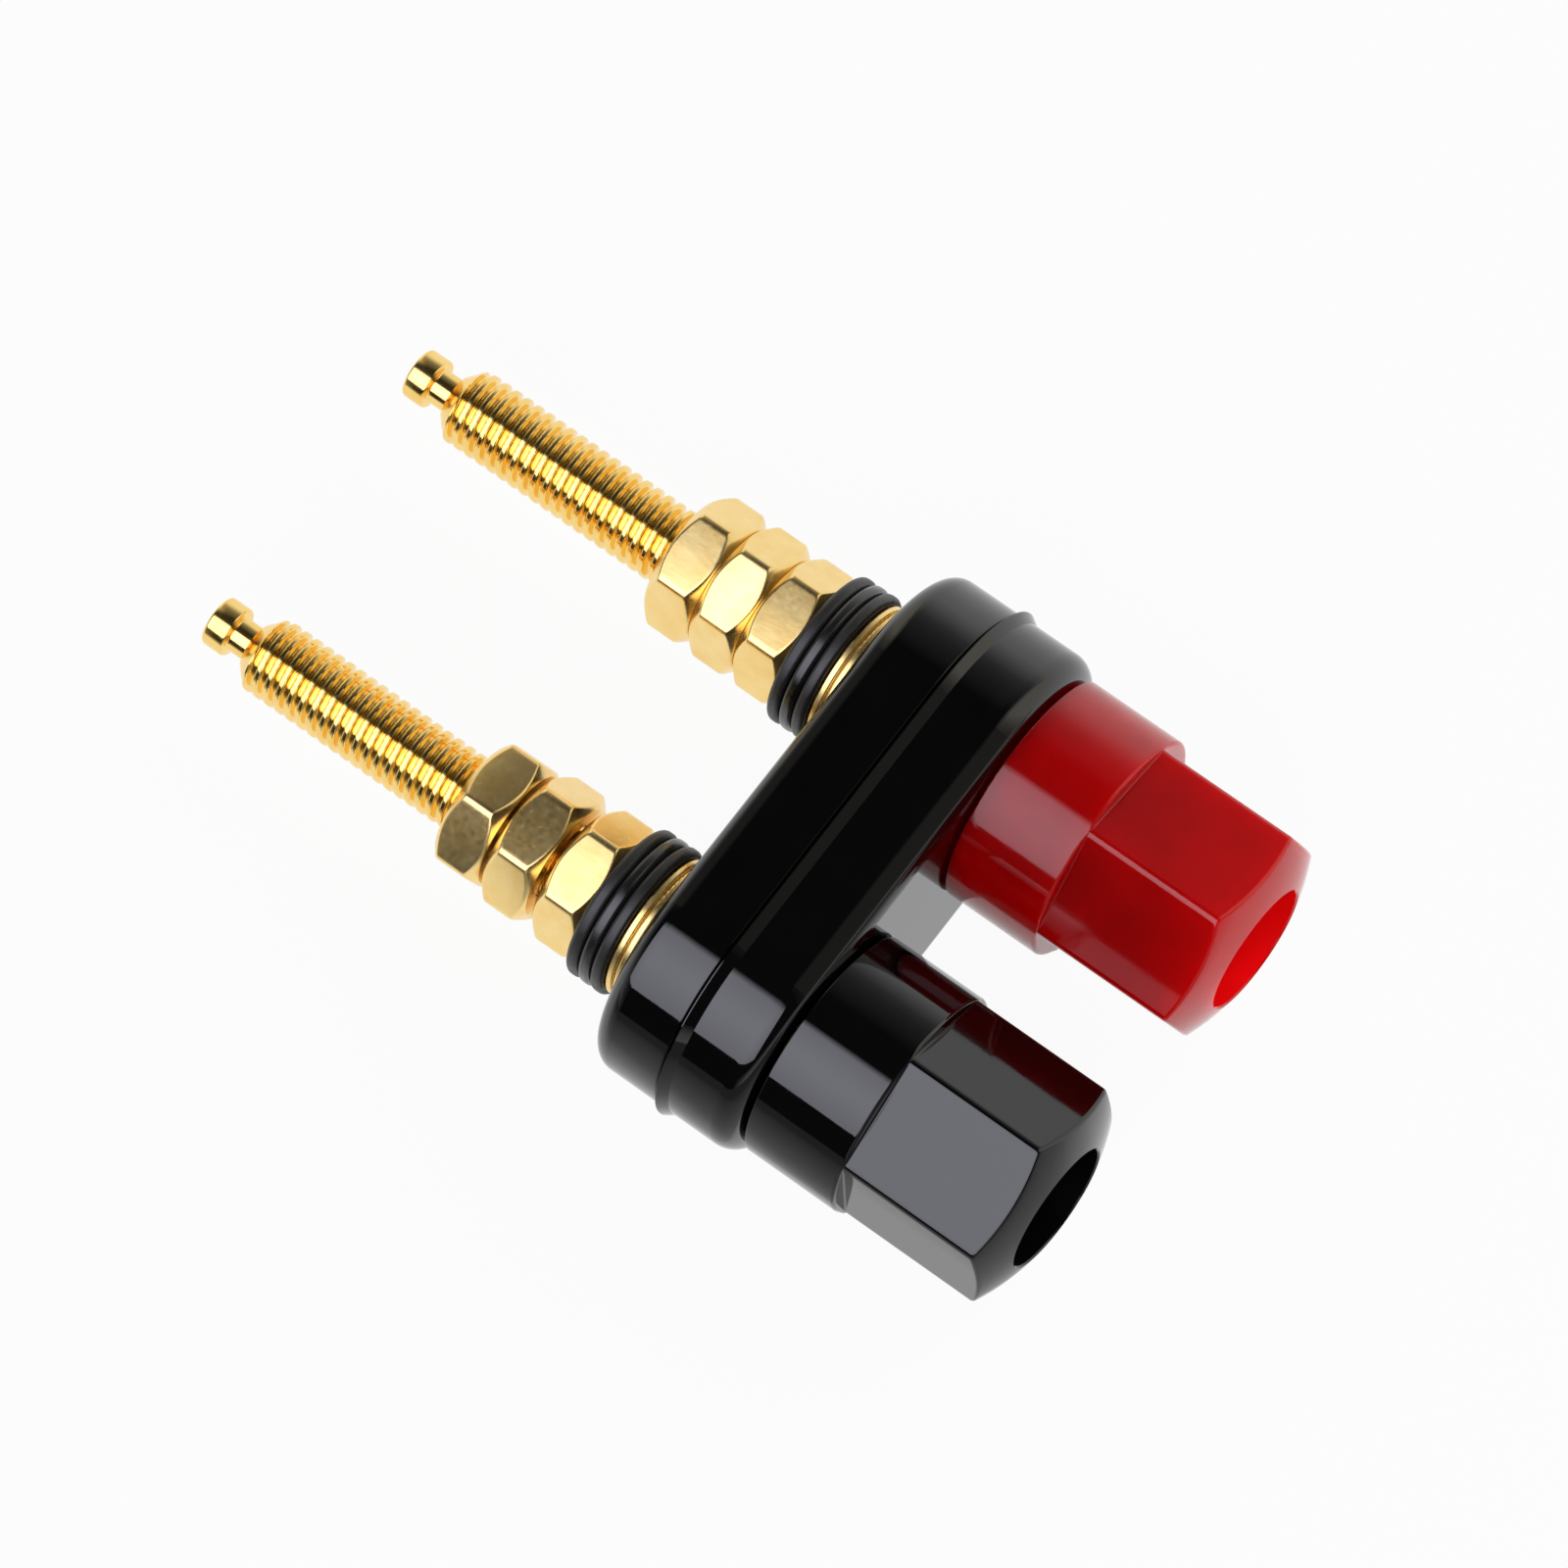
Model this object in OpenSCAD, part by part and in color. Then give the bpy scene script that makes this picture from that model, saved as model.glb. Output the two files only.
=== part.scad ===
// Two-way speaker terminal: a pair of screw-down binding posts on one insulating base.
// The panel plane is y = 0. Caps point to -Y, threaded studs to +Y, and the posts stand side by side along X.
// Each post is drawn about its own axis, with z running from the caps (negative) to the studs (positive).

/* [Posts] */
// Distance between the two post axes
post_spacing = 19; // [17.5:0.5:24]
// Thread diameter of the rear stud
stud_d = 4.85; // [4.4:0.05:5.6]
// Threaded reach of the stud behind the panel plane
stud_reach = 35.55; // [26:0.05:45]
// Length of the lead-in chamfer at the end of the stud
stud_chamfer = 0.9; // [0.4:0.1:1.2]
// Pitch of the stud's thread, which is turned as rings
stud_pitch = 0.8; // [0.7:0.05:1.25]
// Depth of the stud's thread
stud_thread_depth = 0.4; // [0.2:0.05:0.5]
// Diameter of the solder turret's neck
neck_d = 2.2; // [1.6:0.1:2.8]
// Length of the solder turret's neck
neck_l = 1.35; // [1:0.05:3]
// Diameter of the solder turret's head
head_d = 3.2; // [3:0.1:3.8]
// Length of the solder turret's head
head_l = 1.5; // [0.8:0.1:3]
// Small bevel on the edges of turned ends
turned_bevel = 0.2; // [0.1:0.05:0.3]
// Thread diameter of the front spigot that carries the cap
spigot_d = 7; // [6.4:0.1:7.2]
// Diameter of the plug socket bored into the spigot
socket_d = 4; // [3.2:0.1:4.4]
// Metal left between the socket's straight wall and the back of the flange
socket_web = 1.6; // [1.2:0.1:2.4]
// Bevel at the mouth of the plug socket
socket_bevel = 0.5; // [0.2:0.05:0.7]
// Diameter of the cross hole for a bare wire
wire_hole_d = 2.6; // [1.6:0.1:3]
// Distance from the base's front face to the middle of the wire hole
wire_hole_at = 1.8; // [1.6:0.1:2.4]
// Width across flats of the flange that keeps the post from turning
flange_af = 10; // [8.5:0.1:11]
// Thickness of the flange
flange_t = 2.6; // [1.6:0.1:3.4]
// Depth of the flange below the base's front face
flange_sink = 0.2; // [0.1:0.05:0.5]

/* [Base plates] */
// Width of the base, which is also the diameter of its round ends
base_w = 16.3; // [15.6:0.1:20]
// Thickness of the plate in front of the panel
front_plate_t = 5.4; // [4.6:0.1:7]
// Thickness of the plate behind the panel
rear_plate_t = 4.95; // [4:0.05:6.5]
// Rounding of the front plate's outer edge
front_edge_r = 1.6; // [0.4:0.1:1.8]
// Rounding of the rear plate's outer edge
rear_edge_r = 1.3; // [0.4:0.1:1.9]
// Rounding of the rear plate's edge at the joint
seam_edge_r = 0.2; // [0.1:0.05:0.4]
// Width of the pointed lip at its foot, where the two plates meet
lip_w = 0.8; // [0.4:0.1:1]
// Width of the lip's crest
lip_crest_w = 0.06; // [0.04:0.02:0.3]
// Run of the lip's steep side, which starts at the joint
lip_rise_w = 0.15; // [0.05:0.05:0.4]
// Height of the lip
lip_h = 0.4; // [0.1:0.05:0.5]
// Diameter of the bosses that line the panel's holes
boss_d = 8.6; // [7:0.1:9.4]
// Height of the bosses
boss_h = 1.5; // [0.8:0.1:2.4]
// Diameter of the raised pads under the washers
pad_d = 8.9; // [7:0.1:9.2]
// Height of the raised pads
pad_h = 0.54; // [0.3:0.02:1.2]

/* [Caps] */
// Diameter of the cap's round collar
collar_d = 14.7; // [14.2:0.1:15.4]
// Length of the collar
collar_l = 6.35; // [5.9:0.05:8]
// Rounding of the collar's front edge
collar_edge_r = 0.4; // [0.2:0.1:1]
// Rounding of the cap's root edge
root_edge_r = 0.1; // [0.1:0.1:0.6]
// Width across flats of the hexagonal grip
grip_af = 12.7; // [12.2:0.1:13.2]
// Diameter to which the grip's corners are turned down
grip_corner_d = 14.5; // [14.2:0.1:15]
// Length of the cap from root to mouth
cap_l = 16.6; // [16.3:0.1:20]
// Radius of the domed end
dome_r = 16; // [12:0.5:30]
// Bevel round the mouth
mouth_bevel = 0.1; // [0.05:0.05:0.4]
// Depth of the wire clamping space behind the threaded insert
clamp_depth = 1.8; // [1.2:0.1:2.6]
// Corner directions of the two grips, from straight up towards -X, in degrees
grip_turns = [13.5, -4]; // [-60:0.1:60]

/* [Threaded inserts and stop rings] */
// Outside diameter of the insert
insert_d = 10.4; // [9.6:0.1:10.9]
// Length of the insert
insert_l = 4; // [3:0.1:4.2]
// Bevel at both ends of the insert's thread
insert_bevel = 0.3; // [0.1:0.05:0.5]
// Pitch of the cap's thread
cap_pitch = 1; // [0.75:0.05:1.05]
// Turns from screwed down to the stop ring
cap_turns = 5; // [3:1:5]
// Thickness of the stop ring
stop_ring_t = 0.6; // [0.4:0.1:0.8]
// Radial height of the stop ring above the spigot
stop_ring_rise = 0.37; // [0.25:0.01:0.5]
// Depth of the stop ring's groove
stop_groove = 0.45; // [0.3:0.05:0.6]
// Opening angle of the stop ring
stop_ring_gap = 70; // [30:5:110]
// Length of spigot left in front of the stop ring
stop_land = 0.6; // [0.4:0.1:0.8]

/* [Nuts, rings and washers] */
// Width across flats of the hexagon nuts
nut_af = 7.9; // [7.4:0.1:9]
// Thickness of one nut
nut_t = 3.2; // [2.4:0.1:4]
// Diameter of the flat bearing face left by a nut's chamfer
nut_face_d = 7.5; // [6.6:0.1:7.8]
// Angle of a nut's chamfer
nut_chamfer = 40; // [20:1:45]
// Bevel at both ends of a nut's thread
nut_bevel = 0.35; // [0.1:0.05:0.5]
// Corner directions of the nuts on the first post, from the base outwards, in degrees
nut_turns_red = [39.3, 45.6, 40.2]; // [-60:0.1:60]
// Corner directions of the nuts on the second post, from the base outwards, in degrees
nut_turns_black = [40.8, 33.5, 14]; // [-60:0.1:60]
// Slack in front of each nut on the first post, from the base outwards
nut_slack_red = [0, 0, 0]; // [0:0.02:1]
// Slack in front of each nut on the second post, from the base outwards
nut_slack_black = [0, 0.44, 0.2]; // [0:0.02:1]
// Diameter of an insulating ring
ring_d = 9.9; // [9:0.1:11]
// Thickness of an insulating ring
ring_t = 0.85; // [0.6:0.01:1.2]
// Rounding of an insulating ring's outer edge
ring_edge_r = 0.33; // [0.15:0.01:0.4]
// Diameter of a plain washer
washer_d = 9.2; // [8.4:0.1:10.4]
// Thickness of a plain washer
washer_t = 0.52; // [0.4:0.01:0.9]
// Rounding of a plain washer's outer edge
washer_edge_r = 0.18; // [0.05:0.01:0.19]

/* [Clearances] */
// Gap between the screwed-down cap and the base
cap_gap = 0.2; // [0.1:0.05:0.4]
// Radial clearance of turning threads and of the insert in its cap
thread_clear = 0.05; // [0.02:0.01:0.08]
// Radial space round the stop ring in the cap's mouth
mouth_clear = 0.13; // [0.1:0.01:0.4]
// Radial clearance of the cap's root round the spigot
root_clear = 0.2; // [0.1:0.05:0.3]
// Radial clearance of the stud in plates, rings and washers
stud_clear = 0.15; // [0.1:0.05:0.25]
// Clearance of moulded pieces that locate in each other
seat_clear = 0.1; // [0.05:0.01:0.15]
// Gap left between faces that are clamped together
face_gap = 0.02; // [0.01:0.01:0.04]

/* [Hidden] */
$fn = 96;
POSTS = ["red", "black"];
post_x = [post_spacing / 2, -post_spacing / 2];
nut_turns = [nut_turns_red, nut_turns_black];
nut_slack = [nut_slack_red, nut_slack_black];
NUTS = len(nut_turns_red);
RINGS = 3;
WASHERS = 2;

GOLD = [0.85, 0.68, 0.32];
RED = [0.72, 0.02, 0.03];
BLACK = [0.04, 0.04, 0.045];
// Slope of a thread's flank from square to its axis
THREAD_FLANK = 30;
// How far a cut runs past the face that it opens
past = 0.4;

// Stations along a post, from the mouth of the cap to the end of the stud
front_face_z = -front_plate_t;
flange_front_z = front_face_z + flange_sink;
flange_rear_z = flange_front_z + flange_t;
cap_root_z = front_face_z - cap_gap;
collar_end_z = cap_root_z - collar_l;
mouth_z = cap_root_z - cap_l;
insert_root_z = cap_root_z - clamp_depth;
insert_end_z = insert_root_z - insert_l;
stop_rear_z = insert_end_z - cap_turns * cap_pitch - thread_clear;
stop_front_z = stop_rear_z - stop_ring_t;
spigot_end_z = stop_front_z - stop_land;
washer_z = rear_plate_t + pad_h + face_gap;
ring_z = washer_z + WASHERS * (washer_t + face_gap);
nut_z = ring_z + RINGS * (ring_t + face_gap);
turret_z = stud_reach + neck_l;

// Slack that adds up in front of a nut
function slack_before(i, place) = place == 0 ? 0 : slack_before(i, place - 1) + nut_slack[i][place - 1];

// Radii shared by pieces that fit each other
stud_hole_r = stud_d / 2 + stud_clear;
nut_bore_r = stud_d / 2 + thread_clear;
insert_bore_r = spigot_d / 2 + thread_clear;
groove_r = spigot_d / 2 - stop_groove;
stop_ring_r = spigot_d / 2 + stop_ring_rise;
mouth_r = stop_ring_r + mouth_clear;

// Puts a shape drawn about its own z axis onto a post
module on_post(i) {
    translate([post_x[i], 0, 0])
        rotate([-90, 0, 0])
            children();
}

// Hexagonal bar with one corner turned from straight up towards -X
module hex_bar(af, z0, z1, corner) {
    translate([0, 0, z0])
        rotate(-90 - corner)
            cylinder(d = af / cos(30), h = z1 - z0, $fn = 6);
}

// Half section of a disc whose far outer edge is rounded
module edged_section(r, t, edge) {
    square([r, t - edge]);
    square([r - edge, t]);
    translate([r - edge, t - edge])
        circle(edge);
}

// Half section of a barrel from z0 to z1 with its own rounding at each end
module barrel_section(r, z0, z1, edge0, edge1) {
    middle = (z0 + z1) / 2;
    translate([0, middle]) {
        edged_section(r, z1 - middle, edge1);
        mirror([0, 1])
            edged_section(r, middle - z0, edge0);
    }
}

// Half section of a flat ring with both outer edges rounded
module ring_section(r_in, r_out, t, edge) {
    difference() {
        barrel_section(r_out, 0, t, edge, edge);
        translate([0, -past])
            square([r_in, t + 2 * past]);
    }
}

// Half section of the lip round the joint between the plates
module lip_section() {
    side_r = base_w / 2;
    polygon([
        [side_r - lip_h, 0],
        [side_r, 0],
        [side_r + lip_h, lip_rise_w],
        [side_r + lip_h, lip_rise_w + lip_crest_w],
        [side_r, lip_w],
        [side_r - lip_h, lip_w]
    ]);
}

// Straight-sided plate with round ends, swept from a half section
module oblong() {
    for (side = [-1, 1])
        translate([side * post_spacing / 2, 0, 0])
            rotate(-90 * side)
                rotate_extrude(angle = 180)
                    children();
    rotate([90, 0, 90])
        linear_extrude(post_spacing, center = true) {
            children();
            mirror([1, 0])
                children();
        }
}

// Two copies, one at each post
module at_both_posts() {
    for (x = post_x)
        translate([x, 0, 0])
            children();
}

module front_plate() {
    color(BLACK)
        rotate([-90, 0, 0])
            difference() {
                union() {
                    mirror([0, 0, 1])
                        oblong() {
                            edged_section(base_w / 2, front_plate_t, front_edge_r);
                            lip_section();
                        }
                    at_both_posts()
                        translate([0, 0, -past])
                            cylinder(d = boss_d, h = boss_h + past);
                }
                at_both_posts() {
                    translate([0, 0, front_face_z - past])
                        cylinder(r = stud_hole_r, h = front_plate_t + boss_h + 2 * past);
                    hex_bar(flange_af + 2 * seat_clear, front_face_z - past, flange_rear_z + face_gap, 0);
                }
            }
}

module rear_plate() {
    boss_socket_d = boss_d + 2 * seat_clear;
    boss_socket_h = boss_h + seat_clear;
    color(BLACK)
        rotate([-90, 0, 0])
            difference() {
                union() {
                    oblong()
                        barrel_section(base_w / 2, face_gap, rear_plate_t, seam_edge_r, rear_edge_r);
                    at_both_posts()
                        translate([0, 0, rear_plate_t - past])
                            cylinder(d = pad_d, h = pad_h + past);
                }
                at_both_posts() {
                    translate([0, 0, -past])
                        cylinder(r = stud_hole_r, h = rear_plate_t + pad_h + 2 * past);
                    translate([0, 0, -past])
                        cylinder(d = boss_socket_d, h = boss_socket_h + past);
                }
            }
}

// Points down into and out of every groove of the stud's thread, from the first washer to the chamfer
function thread_points(stud_r) =
    let (
        flank_l = stud_thread_depth * tan(THREAD_FLANK),
        turns = floor((stud_reach - stud_chamfer - washer_z) / stud_pitch),
        groove = [[stud_r, 0], [stud_r - stud_thread_depth, flank_l], [stud_r, 2 * flank_l]]
    )
    [for (k = [0:turns - 1]) for (p = groove) p + [0, washer_z + k * stud_pitch]];

// Turned outline of a post, from the spigot's tip to the solder turret
module post_section() {
    spigot_r = spigot_d / 2;
    stud_r = stud_d / 2;
    turret_end_z = turret_z + head_l;
    polygon([
        [0, spigot_end_z],
        [spigot_r - turned_bevel, spigot_end_z],
        [spigot_r, spigot_end_z + turned_bevel],
        [spigot_r, stop_front_z - face_gap],
        [groove_r, stop_front_z - face_gap],
        [groove_r, stop_rear_z + face_gap],
        [spigot_r, stop_rear_z + face_gap],
        [spigot_r, flange_rear_z],
        [stud_r, flange_rear_z],
        each thread_points(stud_r),
        [stud_r, stud_reach - stud_chamfer],
        [stud_r - stud_chamfer, stud_reach],
        [neck_d / 2, stud_reach],
        [neck_d / 2, turret_z],
        [head_d / 2 - turned_bevel, turret_z],
        [head_d / 2, turret_z + turned_bevel],
        [head_d / 2, turret_end_z - turned_bevel],
        [head_d / 2 - turned_bevel, turret_end_z],
        [0, turret_end_z]
    ]);
}

// Drilled outline of the plug socket, with its bevelled mouth and drill point
module socket_section() {
    socket_r = socket_d / 2;
    wall_z = spigot_end_z + socket_bevel;
    floor_z = flange_rear_z - socket_web;
    polygon([
        [0, spigot_end_z - past],
        [socket_r + socket_bevel + past, spigot_end_z - past],
        [socket_r, wall_z],
        [socket_r, floor_z],
        [0, floor_z + socket_r * tan(30)]
    ]);
}

module post(i) {
    color(GOLD)
        on_post(i)
            difference() {
                union() {
                    rotate_extrude()
                        post_section();
                    hex_bar(flange_af, flange_front_z, flange_rear_z, 0);
                }
                rotate_extrude()
                    socket_section();
                translate([0, 0, front_face_z - wire_hole_at])
                    rotate([90, 0, 0])
                        cylinder(d = wire_hole_d, h = spigot_d + 2 * past, center = true);
            }
}

// Outline of the domed grip, before its flats are cut
module dome_section() {
    rim_r = mouth_r + mouth_bevel;
    centre_z = mouth_z + sqrt(dome_r * dome_r - rim_r * rim_r);
    intersection() {
        translate([0, centre_z])
            circle(dome_r);
        translate([0, mouth_z - past])
            square([grip_corner_d / 2, cap_l]);
    }
}

// Everything that is hollow inside a cap
module cap_hollow() {
    root_r = spigot_d / 2 + root_clear;
    pocket_r = insert_d / 2 + thread_clear;
    pocket_z0 = insert_end_z - thread_clear;
    pocket_z1 = insert_root_z + thread_clear;
    rotate_extrude()
        polygon([
            [0, mouth_z - past],
            [mouth_r + mouth_bevel + past, mouth_z - past],
            [mouth_r, mouth_z + mouth_bevel],
            [mouth_r, pocket_z0],
            [pocket_r, pocket_z0],
            [pocket_r, pocket_z1],
            [root_r, pocket_z1],
            [root_r, cap_root_z + past],
            [0, cap_root_z + past]
        ]);
}

module cap(i, tint) {
    color(tint)
        on_post(i)
            difference() {
                union() {
                    rotate_extrude()
                        barrel_section(collar_d / 2, collar_end_z, cap_root_z, collar_edge_r, root_edge_r);
                    intersection() {
                        hex_bar(grip_af, mouth_z - past, cap_root_z - collar_l / 2, grip_turns[i]);
                        rotate_extrude()
                            dome_section();
                    }
                }
                cap_hollow();
            }
}

module insert(i) {
    outer_r = insert_d / 2;
    color(GOLD)
        on_post(i)
            rotate_extrude()
                polygon([
                    [insert_bore_r + insert_bevel, insert_end_z],
                    [outer_r, insert_end_z],
                    [outer_r, insert_root_z],
                    [insert_bore_r + insert_bevel, insert_root_z],
                    [insert_bore_r, insert_root_z - insert_bevel],
                    [insert_bore_r, insert_end_z + insert_bevel]
                ]);
}

module stop_ring(i) {
    inner_r = groove_r + face_gap;
    color(GOLD)
        on_post(i)
            translate([0, 0, stop_front_z])
                rotate(stop_ring_gap / 2 - 90)
                    rotate_extrude(angle = 360 - stop_ring_gap)
                        translate([inner_r, 0])
                            square([stop_ring_r - inner_r, stop_ring_t]);
}

module washer(i, place) {
    color(GOLD)
        on_post(i)
            translate([0, 0, washer_z + (place - 1) * (washer_t + face_gap)])
                rotate_extrude()
                    ring_section(stud_hole_r, washer_d / 2, washer_t, washer_edge_r);
}

module ring(i, place) {
    color(BLACK)
        on_post(i)
            translate([0, 0, ring_z + (place - 1) * (ring_t + face_gap)])
                rotate_extrude()
                    ring_section(stud_hole_r, ring_d / 2, ring_t, ring_edge_r);
}

// Turned outline that chamfers both faces of a nut and bevels its bore
module nut_section() {
    corner_r = nut_af / 2 / cos(30) + past;
    drop = (corner_r - nut_face_d / 2) * tan(nut_chamfer);
    polygon([
        [nut_bore_r + nut_bevel, 0],
        [nut_face_d / 2, 0],
        [corner_r, drop],
        [corner_r, nut_t - drop],
        [nut_face_d / 2, nut_t],
        [nut_bore_r + nut_bevel, nut_t],
        [nut_bore_r, nut_t - nut_bevel],
        [nut_bore_r, nut_bevel]
    ]);
}

module nut(i, place) {
    color(GOLD)
        on_post(i)
            translate([0, 0, nut_z + (place - 1) * (nut_t + face_gap) + slack_before(i, place)])
                intersection() {
                    hex_bar(nut_af, -past, nut_t + past, nut_turns[i][place - 1]);
                    rotate_extrude()
                        nut_section();
                }
}

front_plate();
rear_plate();
for (i = [0, 1]) {
    post(i);
    cap(i, [RED, BLACK][i]);
    insert(i);
    stop_ring(i);
    for (n = [1:WASHERS])
        washer(i, n);
    for (n = [1:RINGS])
        ring(i, n);
    for (n = [1:NUTS])
        nut(i, n);
}
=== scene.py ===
"""Looks of the speaker terminal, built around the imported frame.

The part's sizes are in millimetres until a mesh is made. Materials, floor and lamps are in metres.
"""

import math
from contextlib import contextmanager

import bmesh
import bpy
import numpy as np
from mathutils import Euler, Matrix, Vector


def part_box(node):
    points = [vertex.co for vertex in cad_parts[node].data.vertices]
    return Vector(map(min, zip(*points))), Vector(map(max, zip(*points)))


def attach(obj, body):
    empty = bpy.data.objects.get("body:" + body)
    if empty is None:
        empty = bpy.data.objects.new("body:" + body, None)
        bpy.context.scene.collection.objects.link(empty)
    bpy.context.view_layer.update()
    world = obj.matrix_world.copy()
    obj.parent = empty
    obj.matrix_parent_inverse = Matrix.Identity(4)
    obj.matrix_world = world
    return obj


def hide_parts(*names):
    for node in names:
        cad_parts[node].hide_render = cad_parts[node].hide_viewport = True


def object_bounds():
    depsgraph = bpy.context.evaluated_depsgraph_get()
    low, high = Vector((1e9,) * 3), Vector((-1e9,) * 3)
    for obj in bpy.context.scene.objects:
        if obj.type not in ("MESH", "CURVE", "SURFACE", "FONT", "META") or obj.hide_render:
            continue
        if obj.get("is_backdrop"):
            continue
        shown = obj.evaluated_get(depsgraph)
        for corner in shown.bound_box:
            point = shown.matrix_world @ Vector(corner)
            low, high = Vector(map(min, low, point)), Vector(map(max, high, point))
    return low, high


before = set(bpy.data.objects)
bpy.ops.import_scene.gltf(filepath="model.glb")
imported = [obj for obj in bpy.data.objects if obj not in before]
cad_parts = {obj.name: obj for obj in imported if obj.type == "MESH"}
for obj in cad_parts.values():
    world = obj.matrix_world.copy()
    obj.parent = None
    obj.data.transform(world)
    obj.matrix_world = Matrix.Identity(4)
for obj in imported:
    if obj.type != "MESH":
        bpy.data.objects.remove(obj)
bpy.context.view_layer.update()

MM = 0.001
POSTS = ("red", "black")
NUTS = (1, 2, 3)

# Sizes repeated from the part's source; a turn is in degrees from +Z towards -X
POST_X = {"red": 9.5, "black": -9.5}
GRIP_TURN = {"red": 13.5, "black": -4.0}
NUT_TURN = {"red": (39.3, 45.6, 40.2), "black": (40.8, 33.5, 14.0)}
GRIP_AF = 12.7
COLLAR_R = 7.35
COLLAR_L = 6.35
DOME_R = 16.0
MOUTH_R = 4.0
MOUTH_BEVEL = 0.1
ROOT_R = 3.7
POCKET_R = 5.25
POCKET_Y = (-11.45, -7.35)
NUT_AF = 7.9
NUT_FACE_R = 3.75
NUT_CHAMFER = math.radians(40)
NUT_BORE_R = 2.475
NUT_BEVEL = 0.35
STUD_R = 2.425
STUD_END = 35.55
STUD_CHAMFER = 0.9
NECK_R = 1.1
HEAD_R = 1.6
HEAD_Y = (36.9, 38.4)
TURNED_BEVEL = 0.2
FLANGE_Y = (-5.2, -2.6)
FLANGE_AF = 10.0
SPIGOT_R = 3.5
SPIGOT_END = -17.65
STOP_GROOVE_Y = (-17.07, -16.43)
STOP_GROOVE_R = 3.05
SOCKET_R = 2.0
SOCKET_BEVEL = 0.5
SOCKET_FLOOR = -4.2
WIRE_HOLE_R = 1.3
WIRE_HOLE_Y = -7.2

# Softened edges that only the looks have; one rounding takes up to a share of the shorter side beside it
GRIP_CORNER_R = 0.45
GRIP_ROOT_R = 0.12
DOME_EDGE_R = 0.35
COLLAR_EDGE_R = 0.25
COLLAR_ROOT_R = 0.1
ROOT_EDGE_R = 0.12
NUT_CORNER_R = 0.5
NUT_EDGE_R = 0.3
NUT_FACE_EDGE_R = 0.1
NECK_ROOT_R = 0.12
NECK_HEAD_R = 0.15
FLANGE_CORNER_R = 0.2
FLANGE_EDGE_R = 0.15
ROUNDING_SHARE = 0.48

# Shading: steeper edges stay sharp, and flats outweigh the roundings beside them
SHARP_ANGLE = math.radians(40)
FLAT_WEIGHT = 60

# Threads; crest and flank are shares of half a pitch
STUD_PITCH = 0.8
STUD_DEPTH = 0.4
STUD_THREAD_START = 5.5
SPIGOT_PITCH = 1.0
SPIGOT_DEPTH = 0.42
THREAD_FADE = 0.5
CREST_SHARE = 0.28
FLANK_SHARE = 0.66

# Hidden laps, where the stud, the spigot and the flange of a post run into each other
STUD_SINK = 0.3
SPIGOT_SINK = 0.2
BACK_SINK = 0.2
BACK_STEP = 0.3
FLANGE_FRONT_STEP = 0.45
FLANGE_REAR_STEP = 0.2
SOCKET_TIP = 0.9
CORE_R = 0.4
AXIS_R = 0.3

# Steps round an axis, over one rounding, over the dome and along the posts
CAP_STEPS = 360
NUT_STEPS = 240
FLANGE_STEPS = 180
POST_STEPS = 72
CAP_ROUNDING = 6
TURRET_ROUNDING = 5
NUT_ROUNDING = 4
FLANGE_ROUNDING = 3
DOME_SHARES = np.linspace(0.3, 1, 8)[:-1]
STUD_RINGS = 16
SPIGOT_RINGS = 14
PLAIN_STEP = 1.0
STATION_DIGITS = 5

# The wire hole's cutter reaches past the spigot and is turned a little, so that its edges miss the spigot's
HOLE_OVERSHOOT = 1.0
HOLE_TURN = math.radians(2)
HOLE_STEPS = 48
CUT_TOLERANCE = 0.001


# Mesh building

def full_circle(count):
    return np.linspace(0, 2 * math.pi, count, endpoint=False)


def hex_radius(angles, across_flats, corner, corner_r):
    """Radius of a hexagon with rounded corners; angles and the corner's angle run from +Z towards -X."""
    sector = math.pi / 3
    half = sector / 2
    h = across_flats / 2
    off = np.abs((angles - corner + half) % sector - half)
    flat = h / np.cos(half - off)
    centre = (h - corner_r) / math.cos(half)
    limit = math.atan2(corner_r * math.sin(half), centre + corner_r * math.cos(half))
    inside = np.maximum(corner_r ** 2 - (centre * np.sin(off)) ** 2, 0)
    return np.where(off < limit, centre * np.cos(off) + np.sqrt(inside), flat)


def rounded(points, radii, steps):
    """Closed outlines with rounded corners.

    points is (angle, corner, [radius, y]), and radii has one value for each corner, 0 for a sharp one.
    """
    points = np.asarray(points, float)
    count = points.shape[1]
    t = np.linspace(0, 1, steps + 1)[None, :, None]
    out = []
    for k, radius in enumerate(radii):
        p, before, after = points[:, k], points[:, k - 1], points[:, (k + 1) % count]
        if radius == 0:
            out.append(p[:, None])
            continue
        u, w = p - before, after - p
        u_length = np.linalg.norm(u, axis=1, keepdims=True)
        w_length = np.linalg.norm(w, axis=1, keepdims=True)
        u, w = u / u_length, w / w_length
        half = np.arccos(np.clip((u * w).sum(1, keepdims=True), -1, 1)) / 2
        reach = np.minimum(radius * np.tan(half), ROUNDING_SHARE * np.minimum(u_length, w_length))
        start, end = p - u * reach, p + w * reach
        at_start, at_corner, at_end = (1 - t) ** 2, 2 * t * (1 - t) * np.cos(half)[:, None], t ** 2
        arc = at_start * start[:, None] + at_corner * p[:, None] + at_end * end[:, None]
        out.append(arc / (at_start + at_corner + at_end))
    return np.concatenate(out, axis=1)


def place_object(name, data):
    obj = bpy.data.objects.new(name, data)
    bpy.context.scene.collection.objects.link(obj)
    return obj


def make_object(name, verts, faces):
    mesh = bpy.data.meshes.new(name)
    mesh.from_pydata([tuple(v) for v in np.asarray(verts) * MM], [], faces)
    mesh.validate()
    mesh.shade_smooth()
    mesh.set_sharp_from_angle(angle=SHARP_ANGLE)
    return place_object(name, mesh)


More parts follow.
